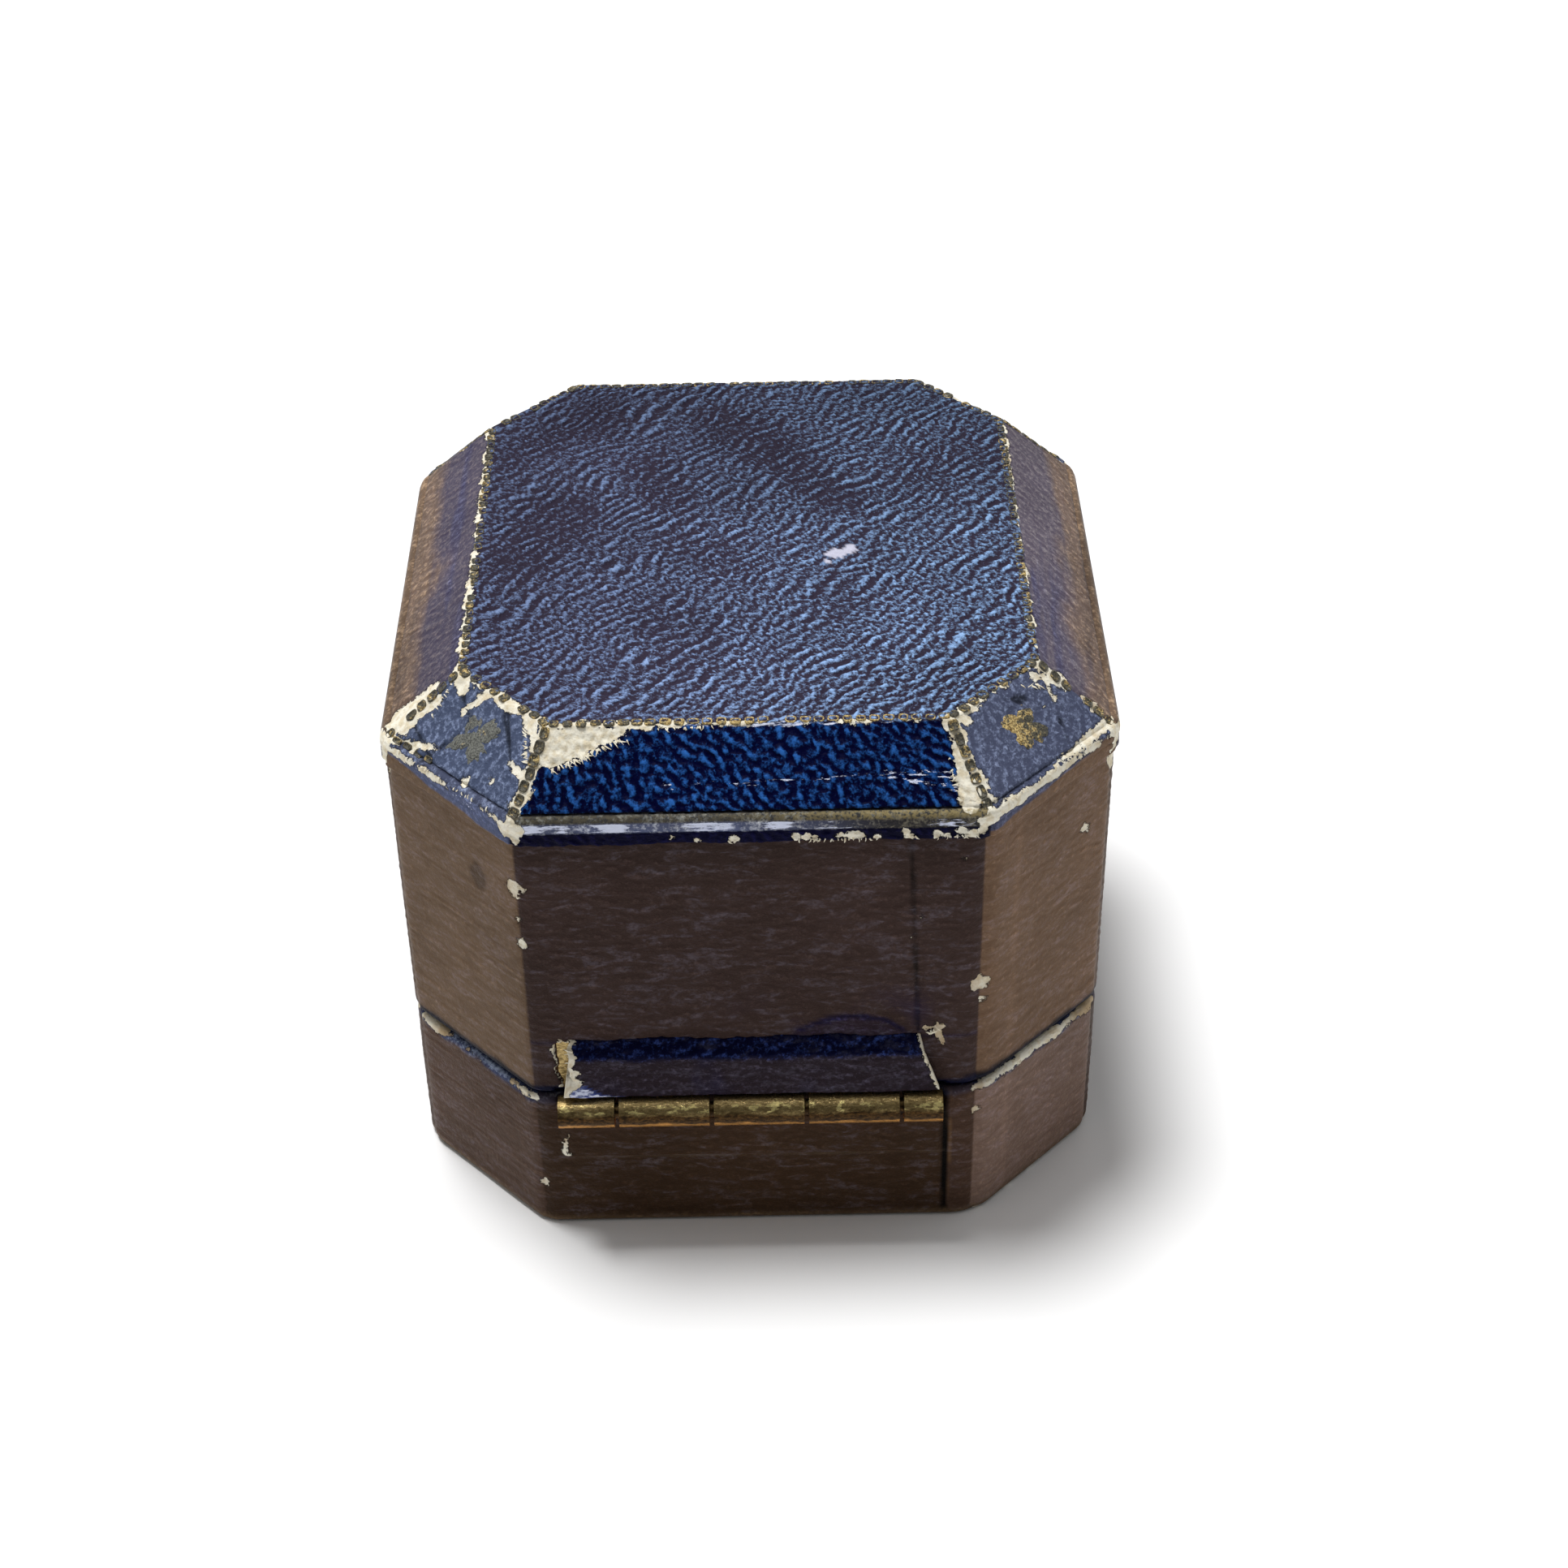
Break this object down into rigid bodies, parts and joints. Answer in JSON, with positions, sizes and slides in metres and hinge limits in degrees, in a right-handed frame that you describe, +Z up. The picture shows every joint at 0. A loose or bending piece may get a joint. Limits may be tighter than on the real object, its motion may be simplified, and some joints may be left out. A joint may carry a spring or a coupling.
{
  "type": "ring box",
  "caption": "Octagonal leather-covered ring box with a tall bevelled lid on a barrel hinge, a push-button catch, velvet ring pads and a satin-padded lid.",
  "frame": {"origin": "centre of the underside, where the box rests", "axes": "+Z up, +Y towards the hinge at the back, -Y towards the push button at the front, +X to the right seen from the front"},
  "size_m": [0.0452, 0.0505, 0.0382],
  "materials": {
    "morocco_leather": "worn, grained",
    "wood": "raw",
    "hinge_brass": "aged",
    "catch_brass": "aged",
    "steel": "drawn wire",
    "velvet": "velvet pile",
    "satin": "satin weave",
    "card": "matte",
    "underside_paper": "matte, grained"
  },
  "bodies": {
    "base": {"base_bottom_sheet": "underside_paper", "base_floor_board": "wood", "base_wall_staves": "wood", "base_side_leather": "morocco_leather", "base_collar": "velvet", "pad_insert_board": "card", "ring_pad_front": "velvet", "ring_pad_rear": "velvet", "hinge_leaf_base": "hinge_brass", "hinge_pin": "hinge_brass", "hinge_tacks_base": "hinge_brass", "button_bezel": "catch_brass", "catch_pivot_pin": "steel"},
    "lid": {"lid_wall_staves": "wood", "lid_top_board": "wood", "lid_top_leather": "morocco_leather", "lid_side_leather": "morocco_leather", "lid_hinge_flap": "morocco_leather", "lid_wall_lining": "satin", "lid_pad_board": "card", "lid_satin_pad": "satin", "hinge_leaf_lid": "hinge_brass", "hinge_tacks_lid": "hinge_brass", "keeper_plate": "catch_brass", "keeper_pins": "catch_brass"},
    "button": {"push_button": "catch_brass"},
    "catch": {"catch_spring": "catch_brass"}
  },
  "joints": [
    {"name": "lid_hinge", "type": "hinge", "parent": "base", "child": "lid", "pos_m": [0, 0.0242, 0.011], "axis": [-1, 0, 0], "range_deg": [0, 110]},
    {"name": "button_press", "type": "slide", "parent": "base", "child": "button", "axis": [0, 1, 0], "range_m": [0, 0.0005], "stiffness_N_per_m": 800, "springref_m": -0.001},
    {"name": "catch_swing", "type": "hinge", "parent": "base", "child": "catch", "pos_m": [0, -0.021, 0.0036], "axis": [-1, 0, 0], "range_deg": [0, 8.2]}
  ],
  "couplings": [
    {"joint": "catch_swing", "follows": "button_press", "rad_per_m": 277.78}
  ]
}
